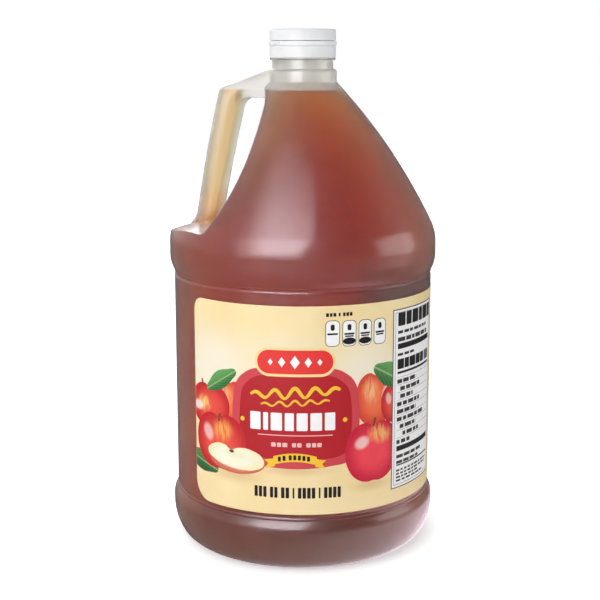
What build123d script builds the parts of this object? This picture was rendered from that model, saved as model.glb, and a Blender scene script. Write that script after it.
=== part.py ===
from build123d import *
import math
import os

# One-gallon vinegar jug of blown plastic, with a hollow grip in the same moulding.
# Frame: millimetres, +Z up, origin at the middle of the base, grip towards -X.

# ---- body ----
panel_radius = 75.5          # straight wall that carries the label
wall = 1.0
bumper_proud = 2.45          # how far both rings stand out past the panel
base_corner_width = 14.4
base_corner_height = 21.2
base_side_radius = 31.0      # larger radius of the two-arc corner
base_bumper_height = 3.2     # straight stretch of the lower ring
bumper_roll_low = 6.5        # rise of the lower ring's roll
groove_depth = 0.6
groove_height = 2.4
groove_land = 0.8            # straight wall between a ring's roll and its groove
panel_height = 124.5
bumper_roll_high = 9.1       # rise of the upper ring's roll
bumper_height = 6.7          # straight stretch of the upper ring
shoulder_edge_radius = 26.2
shoulder_edge_angle = 25.0   # degrees off vertical where the long arc takes over
shoulder_arc_radius = 326.0
shoulder_height = 91.7       # top of the upper ring to the collar
foot_ring_width = 11.65      # flat ring that the jug stands on, outside its dished middle
push_up_depth = 4.0

# ---- neck ----
neck_radius = 17.5
collar_proud = 2.1           # how far the collar stands out past the neck
collar_height = 7.5
collar_edge_radius = 2.2
neck_height = 4.9            # bare neck between the collar and the bead
bead_proud = 1.4
bead_height = 1.4
bead_edge_radius = 0.5
mouth_wall = 1.4             # wall of the neck above the collar
collar_foot_share = 0.4      # how far the inner wall meets the collar lower, as a share of the wall

# ---- hand recess ----
recess_inset = 5.5           # collar's side back to the recess wall at its waist
recess_waist_drop = 14.1     # collar down to the waist
recess_top_drop = 1.5
recess_top_flare = 9.1
ledge_width = 38.0           # ring's outside back to the foot of the recess wall
ledge_back_rise = 9.9        # back of the ledge above the ring
ledge_rim_rise = 1.5
ledge_crown = 3.3
ledge_corner_radius = 5.0
recess_overrun = 6.0         # how far the cut runs out past the ring
recess_bulge_radius = 400.0  # the recess is slightly rounded across
recess_edge_radius = 0.8

# ---- grip ----
grip_thickness = 12.5
grip_width = 21.1
grip_edge_radius = 5.0
grip_foot_inset = 13.5       # ring's outside back to the grip's outer side
grip_foot_rise = 16.0        # where that is measured, above the ring
grip_lean = 11.9             # degrees towards the neck
grip_bow = 0.9               # how far the sides bow outwards
arm_slope = 19.9             # degrees that the arm falls from the collar
arm_top_drop = 0.3           # top of the collar down to the arm
arm_underside_drop = 9.2     # collar's lower edge down to the arm's underside
elbow_outer_radius = 5.5
elbow_inner_radius = 8.0
foot_ramp_inset = 3.5        # ring's outside back to the end of the foot's ramp
foot_ramp_rise = 0.8
foot_flare_radius = 9.0
foot_depth = 14.0            # how far the foot is rooted below the ring's top
foot_taper = 7.0             # how far its outer side leans in over that depth
foot_bend_drop = 3.0         # where the tube turns into the ramp, below its measured rise

# ---- contents, closure and label ----
fill_drop = 4.5              # collar's lower edge down to the vinegar
web_rise = 0.6               # floor of the arm's passage above the vinegar
cap_clearance = 0.3
cap_wall = 1.2
cap_top_thickness = 1.6
cap_edge_radius = 1.2
cap_height = 6.4             # top of the cap down to the tear line
tear_line = 0.35             # gap between the cap and the band
tear_strip_height = 2.5
tear_strip_proud = 0.35
tear_strip_edge = 0.15
band_height = 9.1
band_groove = 0.45
tab_width = 6.0
tab_height = 1.5
tab_proud = 0.8
tab_angle = -121.0           # degrees about +Z
label_thickness = 0.2
label_height = 117.4
label_margin = 0.8           # groove up to the label's lower edge
label_start = -123.3         # degrees about +Z, from +X
label_end = 85.0
label_top_corner = 7.0
label_low_corner = 12.0

# ---- heights and radii that follow ----
bumper_radius = panel_radius + bumper_proud
push_up_radius = bumper_radius - base_corner_width - foot_ring_width
collar_radius = neck_radius + collar_proud
bead_radius = neck_radius + bead_proud
recess_reach = collar_radius - recess_inset
lower_roll = base_corner_height + base_bumper_height
lower_groove = lower_roll + bumper_roll_low + groove_land
panel_low = lower_groove + groove_height
panel_high = panel_low + panel_height
upper_groove = panel_high + groove_height
upper_ring = upper_groove + groove_land + bumper_roll_high
ring_top = upper_ring + bumper_height
collar_low = ring_top + shoulder_height
collar_top = collar_low + collar_height
bead_low = collar_top + neck_height
bead_top = bead_low + bead_height
band_low = bead_top
band_top = band_low + band_height
cap_low = band_top + tear_line
cap_top = cap_low + cap_height
mouth_top = cap_top - cap_top_thickness
mouth_radius = neck_radius - mouth_wall
closure_bore = neck_radius + cap_clearance
closure_radius = closure_bore + cap_wall
fill_level = collar_low - fill_drop


def arc_about(centre, radius, start_angle, end_angle):
    """Arc about a centre, with its angles in degrees from +X."""
    points = [
        (centre[0] + radius * math.cos(math.radians(angle)), centre[1] + radius * math.sin(math.radians(angle)))
        for angle in (start_angle, (start_angle + end_angle) / 2, end_angle)
    ]
    return ThreePointArc(*points)


def upright_arc(upright, other, bulge):
    """Arc that leaves the upright point vertically; its centre lies to the side 'bulge' (+1, -1) in X."""
    rise = abs(other[1] - upright[1])
    step = abs(other[0] - upright[0])
    radius = (rise**2 + step**2) / (2 * step)
    centre = Vector(upright[0] + bulge * radius, upright[1])
    middle = (Vector(*upright) - centre).normalized() + (Vector(*other) - centre).normalized()
    return ThreePointArc(upright, centre + middle.normalized() * radius, other)


def base_corner(inset):
    """Two tangent arcs from the foot ring to the lower bumper."""
    across = base_side_radius - base_corner_width
    small = (base_side_radius**2 - across**2 - base_corner_height**2) / (
        2 * (base_side_radius - base_corner_height)
    )
    side_centre = (bumper_radius - base_side_radius, base_corner_height)
    foot_centre = (bumper_radius - base_corner_width, small)
    turn = math.degrees(math.atan2(foot_centre[1] - side_centre[1], foot_centre[0] - side_centre[0]))
    return [
        arc_about(foot_centre, small - inset, -90, turn),
        arc_about(side_centre, base_side_radius - inset, turn, 0),
    ]


def ring_roll(ring_z, rise, inset):
    """Roll from a ring's straight stretch at ring_z to the panel, up or down by rise."""
    radius = (rise**2 + bumper_proud**2) / (2 * bumper_proud) - inset
    height = math.sqrt(radius**2 - (radius - bumper_proud) ** 2)
    far = (panel_radius - inset, ring_z + math.copysign(height, rise))
    roll = upright_arc((bumper_radius - inset, ring_z), far, -1)
    return roll if rise > 0 else ThreePointArc(roll @ 1, roll @ 0.5, roll @ 0)


def groove(middle_z, inset):
    """Shallow groove round the panel, about the height middle_z."""
    outer = (groove_height**2 / 4 + groove_depth**2) / (2 * groove_depth)
    radius = outer + inset
    half = math.degrees(math.acos((outer - groove_depth + inset) / radius))
    return arc_about((panel_radius - groove_depth + outer, middle_z), radius, 180 + half, 180 - half)


def dish(inset):
    """Half of the base's dished middle, from the axis to the foot ring."""
    radius = (push_up_radius**2 + push_up_depth**2) / (2 * push_up_depth)
    spread = math.degrees(math.asin(push_up_radius / radius))
    return arc_about((0, push_up_depth + inset - radius), radius, 90, 90 - spread)


def joined(pieces):
    """The pieces, which run end to end, with straight walls where there is a gap."""
    edges = [pieces[0]]
    for piece in pieces[1:]:
        if (piece @ 0 - edges[-1] @ 1).length > 1e-6:
            edges.append(Line(edges[-1] @ 1, piece @ 0))
        edges.append(piece)
    return edges


def body_section(inset):
    """Half section of the turned body, from the base to the top of the collar, drawn in by inset."""
    base = dish(inset)
    edge_centre = (bumper_radius - shoulder_edge_radius, ring_top)
    edge = arc_about(edge_centre, shoulder_edge_radius - inset, 0, shoulder_edge_angle)
    collar_foot = (collar_radius - inset, collar_low - collar_foot_share * inset)
    round_centre = (collar_radius - collar_edge_radius, collar_top - collar_edge_radius)
    top = (0, collar_top - inset)
    outline = joined(
        [
            base,
            *base_corner(inset),
            ring_roll(lower_roll, bumper_roll_low, inset),
            groove((lower_groove + panel_low) / 2, inset),
            groove((panel_high + upper_groove) / 2, inset),
            ring_roll(upper_ring, -bumper_roll_high, inset),
            edge,
            RadiusArc(edge @ 1, collar_foot, inset - shoulder_arc_radius),
            arc_about(round_centre, collar_edge_radius - inset, 0, 90),
            Line(top, base @ 0),
        ]
    )
    return make_face(Wire(outline))


def turned_body(inset):
    """The turned body, drawn in by inset all round."""
    return revolve(Plane.XZ * body_section(inset), Axis.Z)


def hand_recess(grow):
    """What is scooped out of the shoulder behind the grip, grown by grow."""
    top = (-recess_reach - recess_top_flare, collar_low - recess_top_drop)
    waist = (-recess_reach, collar_low - recess_waist_drop)
    back = (ledge_width - bumper_radius, ring_top + ledge_back_rise)
    rim = (-bumper_radius - recess_overrun, ring_top + ledge_rim_rise)
    crown = Vector((back[0] + rim[0]) / 2, (back[1] + rim[1]) / 2)
    across = Vector(back[1] - rim[1], rim[0] - back[0]).normalized()
    if across.Y < 0:
        across = across * -1
    crown = crown + across * ledge_crown
    section = make_face(
        Wire(
            [
                upright_arc(waist, top, -1),
                upright_arc(waist, back, -1),
                ThreePointArc(back, crown, rim),
                Line(rim, (rim[0], top[1])),
                Line((rim[0], top[1]), top),
            ]
        )
    )
    section = fillet(section.vertices().sort_by_distance(Vector(*back))[0], ledge_corner_radius)
    if grow:
        section = offset(section, grow)
    far_axis = Axis((recess_bulge_radius - recess_reach, 0, 0), (0, 0, 1))
    return revolve(Plane.XZ * section, far_axis)


def grip_section(inset):
    """Side view of the grip: arm, elbow, leaning tube and flared foot."""
    lean = math.tan(math.radians(grip_lean))
    slope = math.tan(math.radians(arm_slope))
    foot_x = grip_foot_inset - bumper_radius
    foot_z = ring_top + grip_foot_rise
    across = grip_thickness / math.cos(math.radians(grip_lean))

    def outer_x(z):
        return foot_x + lean * (z - foot_z)

    def arm_z(x):
        return collar_top - arm_top_drop + slope * (x + collar_radius)

    elbow_z = (arm_z(0) + slope * (foot_x - lean * foot_z)) / (1 - slope * lean)
    elbow = Vector(outer_x(elbow_z), elbow_z)
    underside = collar_low - arm_underside_drop
    inner_elbow = Vector(outer_x(underside) + across, underside)
    ramp_end = Vector(foot_ramp_inset - bumper_radius, ring_top + foot_ramp_rise)
    bend_z = foot_z - foot_bend_drop
    ramp_top = Vector(outer_x(bend_z), bend_z)
    root_z = ring_top - foot_depth
    root_out = Vector(ramp_end.X + foot_taper, root_z)
    root_in = Vector(outer_x(root_z) + across, root_z)
    bow = Vector(-math.cos(math.radians(grip_lean)), math.sin(math.radians(grip_lean))) * grip_bow
    outline = [
        Line((0, arm_z(0)), elbow),
        ThreePointArc(elbow, (elbow + ramp_top) / 2 + bow, ramp_top),
        Line(ramp_top, ramp_end),
        Line(ramp_end, root_out),
        Line(root_out, root_in),
        ThreePointArc(root_in, (root_in + inner_elbow) / 2 + bow, inner_elbow),
        Line(inner_elbow, (0, underside)),
        Line((0, underside), (0, arm_z(0))),
    ]
    section = make_face(Wire(outline))
    for corner, radius in (
        (elbow, elbow_outer_radius),
        (inner_elbow, elbow_inner_radius),
        (ramp_top, foot_flare_radius),
    ):
        section = fillet(section.vertices().sort_by_distance(corner)[0], radius)
    return offset(section, -inset) if inset else section


def grip(inset):
    """The grip as a solid with rounded long edges, drawn in by inset."""
    solid = extrude(Plane.XZ * grip_section(inset), grip_width / 2 - inset, both=True)
    sides = solid.faces().filter_by(Axis.Y)
    rims = ShapeList(edge for side in sides for edge in side.edges())
    return fillet(rims, grip_edge_radius - inset)


def arm_web():
    """Pinched web under the arm, which keeps its passage above the vinegar."""
    lean = math.tan(math.radians(grip_lean))
    underside = collar_low - arm_underside_drop
    floor = fill_level + web_rise
    inner_side = (
        grip_foot_inset - bumper_radius
        + lean * (underside - ring_top - grip_foot_rise)
        + grip_thickness / math.cos(math.radians(grip_lean))
        - wall
    )
    web = Polyline(
        (0, floor),
        (inner_side + lean * (floor - underside), floor),
        (inner_side - lean * elbow_inner_radius + wall / 2, underside - elbow_inner_radius),
        (0, underside - elbow_inner_radius),
        close=True,
    )
    return extrude(Plane.XZ * make_face(web), grip_width, both=True)


def jug_outside():
    """Outer form of the jug, closed across its mouth."""
    body = turned_body(0)
    scooped = body - hand_recess(0)
    scooped = fillet(new_edges(body, combined=scooped), recess_edge_radius)
    gripped = scooped + grip(0)
    neck = Pos(0, 0, (collar_top - wall + mouth_top) / 2) * Cylinder(neck_radius, mouth_top - collar_top + wall)
    bead = Pos(0, 0, (bead_low + bead_top) / 2) * Cylinder(bead_radius, bead_height)
    bead = fillet(bead.edges().filter_by(GeomType.CIRCLE), bead_edge_radius)
    return gripped + neck + bead


def jug_inside():
    """All the space inside the jug, open at the mouth."""
    passage = grip(wall) - arm_web()
    cavity = turned_body(wall) - hand_recess(wall) + passage
    bore = Pos(0, 0, (collar_low + mouth_top) / 2) * Cylinder(mouth_radius, mouth_top - collar_low)
    return cavity + bore


def vinegar(space):
    """What the jug holds, up to the fill level."""
    below = Pos(0, 0, fill_level / 2) * Box(4 * panel_radius, 4 * panel_radius, fill_level)
    return space & below


def cap():
    """Shallow lid of the closure, seated on the mouth."""
    shell = Pos(0, 0, (cap_low + cap_top) / 2) * Cylinder(closure_radius, cap_height)
    shell = fillet(shell.edges().sort_by(Axis.Z)[-1], cap_edge_radius)
    hollow = Pos(0, 0, (cap_low + mouth_top) / 2) * Cylinder(closure_bore, mouth_top - cap_low)
    return shell - hollow


def tear_band():
    """Skirt and tear strip that stay on the neck, resting on its bead, with the pull tab."""
    strip_low = band_top - tear_strip_height
    strip_radius = closure_radius + tear_strip_proud
    profile = Polyline(
        (closure_bore, band_low),
        (closure_radius, band_low),
        (closure_radius, strip_low - band_groove),
        (closure_radius - band_groove, strip_low - band_groove / 2),
        (closure_radius, strip_low),
        (strip_radius, strip_low + tear_strip_edge),
        (strip_radius, band_top - tear_strip_edge),
        (strip_radius - tear_strip_edge, band_top),
        (closure_bore, band_top),
        close=True,
    )
    ring = revolve(Plane.XZ * make_face(profile), Axis.Z)
    tab = Pos(strip_radius, 0, band_top - tab_height / 2 - tear_strip_edge) * Box(
        2 * tab_proud, tab_width, tab_height
    )
    tab = fillet(tab.edges().filter_by(Axis.Z), tab_proud * 0.9)
    return ring + Rot(0, 0, tab_angle) * tab


def label_corner(end, inward, edge_z, upward, radius):
    """What rounds off one corner of the label; inward and upward are +1 or -1."""
    angle = math.radians(end) + inward * radius / panel_radius
    centre = Vector(panel_radius * math.cos(angle), panel_radius * math.sin(angle), edge_z - upward * radius)
    along = Vector(-math.sin(angle), math.cos(angle), 0) * -inward
    out = Vector(math.cos(angle), math.sin(angle), 0)
    plane = Plane(origin=centre, x_dir=along, z_dir=out)
    up = upward if plane.y_dir.Z > 0 else -upward
    size = radius + 1
    square = Pos(size / 2, up * size / 2) * Rectangle(size, size)
    return extrude(plane * (square - Circle(radius)), radius, both=True)


def label():
    """Thin paper wrap round the panel, with rounded corners."""
    low = panel_low + label_margin
    strip = Pos(panel_radius + label_thickness / 2, low + label_height / 2) * Rectangle(
        label_thickness, label_height
    )
    wrap = revolve(Plane.XZ * strip, Axis.Z, revolution_arc=label_end - label_start)
    wrap = Rot(0, 0, label_start) * wrap
    for end, inward in ((label_start, 1), (label_end, -1)):
        wrap -= label_corner(end, inward, low, -1, label_low_corner)
        wrap -= label_corner(end, inward, low + label_height, 1, label_top_corner)
    return wrap


def main():
    os.makedirs("parts", exist_ok=True)
    space = jug_inside()
    nodes = {
        "bottle": jug_outside() - space,
        "vinegar": vinegar(space),
        "cap": cap(),
        "tear_band": tear_band(),
        "label": label(),
    }
    for name, solid in nodes.items():
        export_step(solid, f"parts/{name}.step")
    print("vinegar", round(nodes["vinegar"].volume / 1e6, 4), "l; height", round(cap_top, 2), "mm")


if __name__ == "__main__":
    main()
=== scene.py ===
import math
import random

import bmesh
import bpy
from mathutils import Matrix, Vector


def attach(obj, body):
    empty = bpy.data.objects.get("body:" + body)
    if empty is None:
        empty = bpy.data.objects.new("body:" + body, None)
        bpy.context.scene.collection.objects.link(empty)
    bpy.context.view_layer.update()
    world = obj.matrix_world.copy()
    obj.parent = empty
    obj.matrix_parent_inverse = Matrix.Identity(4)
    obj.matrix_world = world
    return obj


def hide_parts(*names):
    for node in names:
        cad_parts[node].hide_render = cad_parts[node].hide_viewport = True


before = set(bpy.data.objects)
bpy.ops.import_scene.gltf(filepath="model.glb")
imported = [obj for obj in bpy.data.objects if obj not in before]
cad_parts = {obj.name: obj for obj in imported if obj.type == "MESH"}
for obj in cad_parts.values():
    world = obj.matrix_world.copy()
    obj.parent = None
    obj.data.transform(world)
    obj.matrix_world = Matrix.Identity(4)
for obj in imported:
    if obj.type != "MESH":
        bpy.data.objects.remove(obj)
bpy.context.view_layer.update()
mm = 0.001
print("frame loaded")


# node helpers

def feed(tree, socket, value):
    # a socket is linked and anything else is set; a colour may leave out its alpha
    if isinstance(value, bpy.types.NodeSocket):
        tree.links.new(value, socket)
    elif socket.type == "RGBA" and len(value) == 3:
        socket.default_value = (*value, 1)
    else:
        socket.default_value = value


def feedAll(tree, node, sockets):
    # sockets says what goes into each input, by its name or number
    for name, value in sockets.items():
        feed(tree, node.inputs[name], value)


def addNode(tree, kind, x, y, sockets={}, **settings):
    # x and y only say where the node stands in the editor
    node = tree.nodes.new(kind)
    node.location = (x, y)
    for name, value in settings.items():
        setattr(node, name, value)
    feedAll(tree, node, sockets)
    return node


def calculate(tree, operation, values, x, y):
    # one Math node; values are sockets or numbers
    sockets = dict(enumerate(values))
    return addNode(tree, "ShaderNodeMath", x, y, sockets, operation=operation).outputs[0]


def measure(tree, operation, vectors, x, y):
    # a length, distance or dot product
    sockets = dict(enumerate(vectors))
    node = addNode(tree, "ShaderNodeVectorMath", x, y, sockets, operation=operation)
    return node.outputs["Value"]


def mapRange(tree, value, low, high, x, y, outLow=0.0, outHigh=1.0):
    sockets = {
        "Value": value, "From Min": low, "From Max": high, "To Min": outLow, "To Max": outHigh}
    node = addNode(tree, "ShaderNodeMapRange", x, y, sockets, interpolation_type="SMOOTHSTEP")
    return node.outputs["Result"]


def mixColour(tree, factor, first, second, x, y, blend="MIX"):
    sockets = {0: factor, 6: first, 7: second}
    node = addNode(tree, "ShaderNodeMix", x, y, sockets, data_type="RGBA", blend_type=blend)
    return node.outputs[2]


def noise(tree, where, scale, detail, x, y):
    sockets = {"Vector": where, "Scale": scale, "Detail": detail}
    return addNode(tree, "ShaderNodeTexNoise", x, y, sockets).outputs["Fac"]


def objectPlace(tree, x, y):
    return addNode(tree, "ShaderNodeTexCoord", x, y).outputs["Object"]


def printPlace(tree, x, y):
    # the map that runs -1 to 1 across a printed fruit or leaf
    return addNode(tree, "ShaderNodeUVMap", x, y, uv_map="printMap").outputs["UV"]


def splitUp(tree, vector, x, y):
    return addNode(tree, "ShaderNodeSeparateXYZ", x, y, {0: vector}).outputs


def bump(tree, height, strength, depth, x, y, under=None):
    # depth is in millimetres; under is another bump's normal
    sockets = {"Height": height, "Strength": strength, "Distance": depth * mm}
    if under is not None:
        sockets["Normal"] = under
    return addNode(tree, "ShaderNodeBump", x, y, sockets).outputs["Normal"]


def softSpot(tree, flat, centre, size, turn, inner, x, y, strength=1.0):
    # strength inside an oval on a flat map, fading to 0 at its edge
    sockets = {
        "Vector": flat, "Location": (*centre, 0), "Rotation": (0, 0, math.radians(turn)),
        "Scale": (*size, 1)}
    move = addNode(tree, "ShaderNodeMapping", x, y, sockets, vector_type="TEXTURE")
    far = measure(tree, "LENGTH", (move.outputs["Vector"],), x + 180, y)
    return mapRange(tree, far, inner, 1.0, x + 360, y, strength, 0.0)


def newMaterial(name):
    material = bpy.data.materials.new(name)
    material.use_nodes = True
    tree = material.node_tree
    return material, tree, tree.nodes["Principled BSDF"]


def newGroup(name, inputs, outputs):
    # inputs are (name, kind, default) and outputs are (name, kind)
    group = bpy.data.node_groups.new(name, "ShaderNodeTree")
    for title, kind, default in inputs:
        socket = group.interface.new_socket(
            title, in_out="INPUT", socket_type="NodeSocket" + kind)
        if default is not None:
            socket.default_value = default
    for title, kind in outputs:
        group.interface.new_socket(title, in_out="OUTPUT", socket_type="NodeSocket" + kind)
    start = addNode(group, "NodeGroupInput", -900, 0)
    end = addNode(group, "NodeGroupOutput", 900, 0)
    return group, start.outputs, end


def useGroup(tree, group, x, y, sockets):
    return addNode(tree, "ShaderNodeGroup", x, y, sockets, node_tree=group).outputs


# pieces

def meshFrom(name, bm):
    mesh = bpy.data.meshes.new(name)
    bm.to_mesh(mesh)
    bm.free()
    return mesh


def addObject(name, data):
    thing = bpy.data.objects.new(name, data)
    bpy.context.scene.collection.objects.link(thing)
    return thing


def finishNode(name, material):
    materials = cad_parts[name].data.materials
    materials.clear()
    materials.append(material)


# surface effects shared by several finishes

def makeFineGrain():
    # cloudy tone plus a fine skin, for plastic and paper
    group, start, end = newGroup(
        "fineGrain",
        [
            ("Position", "Vector", None),
            ("Skin Scale", "Float", 900.0),
            ("Wave Scale", "Float", 60.0),
            ("Wave Share", "Float", 0.6),
        ],
        [("Height", "Float"), ("Tone", "Float")],
    )
    share = start["Wave Share"]
    skin = noise(group, start["Position"], start["Skin Scale"], 3, -600, 150)
    wave = noise(group, start["Position"], start["Wave Scale"], 2, -600, -150)
    rest = calculate(group, "SUBTRACT", (1.0, share), -300, -300)
    fine = calculate(group, "MULTIPLY", (skin, rest), -300, 150)
    broad = calculate(group, "MULTIPLY", (wave, share), -300, -100)
    height = calculate(group, "ADD", (fine, broad), 0, 100)
    feedAll(group, end, {"Height": height, "Tone": wave})
    return group


def makeScuffs():
    # sparse short scratches and rubbed patches from handling
    group, start, end = newGroup(
        "scuffs",
        [("Position", "Vector", None), ("Scale", "Float", 30.0), ("Amount", "Float", 0.5)],
        [("Mask", "Float")],
    )
    place, scale = start["Position"], start["Scale"]
    stretch = addNode(group, "ShaderNodeMapping", -700, 100, {
        "Vector": place, "Scale": (1.0, 6.0, 0.35), "Rotation": (0.4, 0.9, 0.3)})
    streaks = noise(group, stretch.outputs["Vector"], scale, 6, -450, 100)
    patches = noise(group, place, scale, 2, -450, -200)
    lines = mapRange(group, streaks, 0.60, 0.70, -200, 100)
    where = mapRange(group, patches, 0.5, 0.65, -200, -200)
    marks = calculate(group, "MULTIPLY", (lines, where), 100, 0)
    mask = calculate(group, "MULTIPLY", (marks, start["Amount"]), 300, 0)
    feedAll(group, end, {"Mask": mask})
    return group


fineGrain = makeFineGrain()
scuffs = makeScuffs()
print("surface effects ready")


def grainFor(tree, place, piece, x, y):
    return useGroup(tree, fineGrain, x, y, {
        "Position": place, "Skin Scale": piece["skinScale"],
        "Wave Scale": piece["waveScale"], "Wave Share": piece["waveShare"]})


def scuffsFor(tree, place, piece, x, y):
    sockets = {"Position": place, "Scale": piece["scuffScale"], "Amount": piece["scuffAmount"]}
    return useGroup(tree, scuffs, x, y, sockets)["Mask"]


# blown plastic of the jug

jug = {
    "colour": (0.85, 0.82, 0.83),
    "cloudyColour": (0.79, 0.76, 0.77),
    "gripLightenedColour": (0.91, 0.97, 1.0),     # painted light: the grip's plastic is clearer and bluer than the body's, so the grip shows lighter
    "armColour": (0.86, 0.85, 0.83),
    # painted highlight: the ledge under the grip is made lighter, standing in for the light it
    # reflects
    "ledgeHighlightColour": (1.0, 0.97, 0.97),
    "neckColour": (0.76, 0.755, 0.725),  # empty above the vinegar, so the plastic itself shows
    "roughness": 0.52,
    "roughSwing": (-0.02, 0.03),
    "scuffRough": 0.025,        # rubbed marks, the neck and the grip differ by these
    "neckRough": 0.22,
    "gripRough": -0.08,
    "clearness": 0.995,         # share of light that passes rather than being scattered back
    "ior": 1.2,
    "sheen": 0.9,
    "sheenRoughness": 0.18,
    "skinScale": 1400.0,
    "waveScale": 70.0,
    "waveShare": 0.75,
    "skinBump": 0.10,
    "skinDepth": 0.6,
    "scuffScale": 26.0,
    "scuffAmount": 0.5,
    "seamWidth": 0.35,          # parting line of the mould, in the plane of the grip
    "seamBump": 0.5,
    "seamDepth": 0.15,
    "neckFade": (0.258, 0.268),  # heights in metres
    "gripLean": 0.2107,         # the grip leans in by this much for its height
    "gripInside": -49.0,        # its inner side where it meets the ledge
    "gripFade": 5.0,
    "ledgeHeight": 203.0,
    "ledgeFade": (-4.0, 6.0),   # the grip begins over these heights from the ledge
    "ledgeHighlightMiddle": -9.0,        # middle of the ledge's painted highlight, from its height
    "ledgeHighlightSpread": (6.0, 14.0),
    "ledgeHighlightSide": (-62.0, -48.0),
}


def makeGripAndLedgeHighlight():
    # Grip is 1 on the grip and 0 on the body; the second output is 1 on the ledge below it, where
    # a highlight is painted
    group, start, end = newGroup(
        "gripAndLedgeHighlight", [("Position", "Vector", None)], [("Grip", "Float"), ("Ledge Highlight", "Float")])
    ledge, inside = jug["ledgeHeight"], jug["gripInside"]
    split = splitUp(group, start["Position"], -900, 0)
    x = calculate(group, "MULTIPLY", (split["X"], 1000.0), -700, 200)
    z = calculate(group, "MULTIPLY", (split["Z"], 1000.0), -700, -200)
    rise = calculate(group, "SUBTRACT", (z, ledge), -500, -200)
    lean = calculate(group, "MULTIPLY", (rise, jug["gripLean"]), -350, -200)
    side = calculate(group, "SUBTRACT", (x, lean), -200, 100)
    beyond = mapRange(group, side, inside, inside + jug["gripFade"], 0, 100, 1.0, 0.0)
    low, high = jug["ledgeFade"]
    above = mapRange(group, z, ledge + low, ledge + high, 0, -100)
    grip = calculate(group, "MULTIPLY", (beyond, above), 200, 0)
    # the ledge's painted highlight lies round this height, on the grip's side
    offset = calculate(group, "SUBTRACT", (z, ledge + jug["ledgeHighlightMiddle"]), 0, -300)
    away = calculate(group, "ABSOLUTE", (offset,), 100, -300)
    near = mapRange(group, away, *jug["ledgeHighlightSpread"], 200, -300, 1.0, 0.0)
    outer = mapRange(group, x, *jug["ledgeHighlightSide"], 0, -500, 1.0, 0.0)
    ledgeHighlight = calculate(group, "MULTIPLY", (near, outer), 400, -300)
    feedAll(group, end, {"Grip": grip, "Ledge Highlight": ledgeHighlight})
    return group


gripAndLedgeHighlight = makeGripAndLedgeHighlight()


def makeJugPlastic():
    material, tree, shader = newMaterial("jugPlastic")
    place = objectPlace(tree, -1500, 0)
    split = splitUp(tree, place, -1200, -500)
    grain = grainFor(tree, place, jug, -1200, 200)
    rubbed = scuffsFor(tree, place, jug, -1200, -200)
    area = useGroup(tree, gripAndLedgeHighlight, -1200, 500, {"Position": place})
    neck = mapRange(tree, split["Z"], *jug["neckFade"], -700, 550)
    cloudy = mapRange(tree, grain["Tone"], 0.35, 0.65, -900, 350)
    tone = mixColour(tree, cloudy, jug["colour"], jug["cloudyColour"], -600, 350)
    tone = mixColour(tree, neck, tone, jug["neckColour"], -500, 550)
    # painted highlight on the ledge under the grip
    tone = mixColour(tree, area["Ledge Highlight"], tone, jug["ledgeHighlightColour"], -450, 450)
    # painted light: the grip below the neck is made lighter; the arm above it is empty plastic
    gripTone = mixColour(tree, neck, jug["gripLightenedColour"], jug["armColour"], -500, 700)
    tone = mixColour(tree, area["Grip"], tone, gripTone, -300, 450)
    low, high = (jug["roughness"] + swing for swing in jug["roughSwing"])
    rough = mapRange(tree, grain["Tone"], 0.3, 0.7, -900, 100, low, high)
    rough = calculate(tree, "MULTIPLY_ADD", (rubbed, jug["scuffRough"], rough), -700, 100)
    rough = calculate(tree, "MULTIPLY_ADD", (neck, jug["neckRough"], rough), -500, 100)
    rough = calculate(tree, "MULTIPLY_ADD", (area["Grip"], jug["gripRough"], rough), -300, 100)
    side = calculate(tree, "ABSOLUTE", (split["Y"],), -1000, -500)
    seam = mapRange(tree, side, 0.0, jug["seamWidth"] * mm, -800, -500, 1.0, 0.0)
    skin = bump(tree, grain["Height"], jug["skinBump"], jug["skinDepth"], -400, -200)
    feedAll(tree, shader, {
        "Base Color": tone,
        "Roughness": rough,
        "Normal": bump(tree, seam, jug["seamBump"], jug["seamDepth"], -200, -400, skin),
        "IOR": jug["ior"],
        "Transmission Weight": jug["clearness"],
        "Coat Weight": jug["sheen"],
        "Coat Roughness": jug["sheenRoughness"],
    })
    return material


finishNode("bottle", makeJugPlastic())
print("jug finished")


# the vinegar inside

vinegar = {
    "intoWall": 0.3,            # reaches just into the wall
    "rimWidth": 1.6,            # liquid creeps up the wall over this width
    "rimRise": 0.7,
    "absorption": 70.0,         # per metre, for the colour it soaks up most
    "tint": (0.882, 0.56, 0.0),
    "ior": 1.1,
    "hazeScale": 18.0,
    "hazeColours": ((1.0, 0.97, 0.93), (1.0, 0.99, 0.97)),
}


def makeVinegarLiquid():
    material, tree, shader = newMaterial("vinegarLiquid")
    haze = noise(tree, objectPlace(tree, -900, 0), vinegar["hazeScale"], 2, -700, 0)
    feedAll(tree, shader, {
        "Base Color": mixColour(tree, haze, *vinegar["hazeColours"], -400, 0),
        "Roughness": 0.0,
        "IOR": vinegar["ior"],
        "Transmission Weight": 1.0,
    })
    soak = addNode(tree, "ShaderNodeVolumeAbsorption", -100, -300, {
        "Color": vinegar["tint"], "Density": vinegar["absorption"]})
    feedAll(tree, tree.nodes["Material Output"], {"Volume": soak.outputs["Volume"]})
    return material


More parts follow.
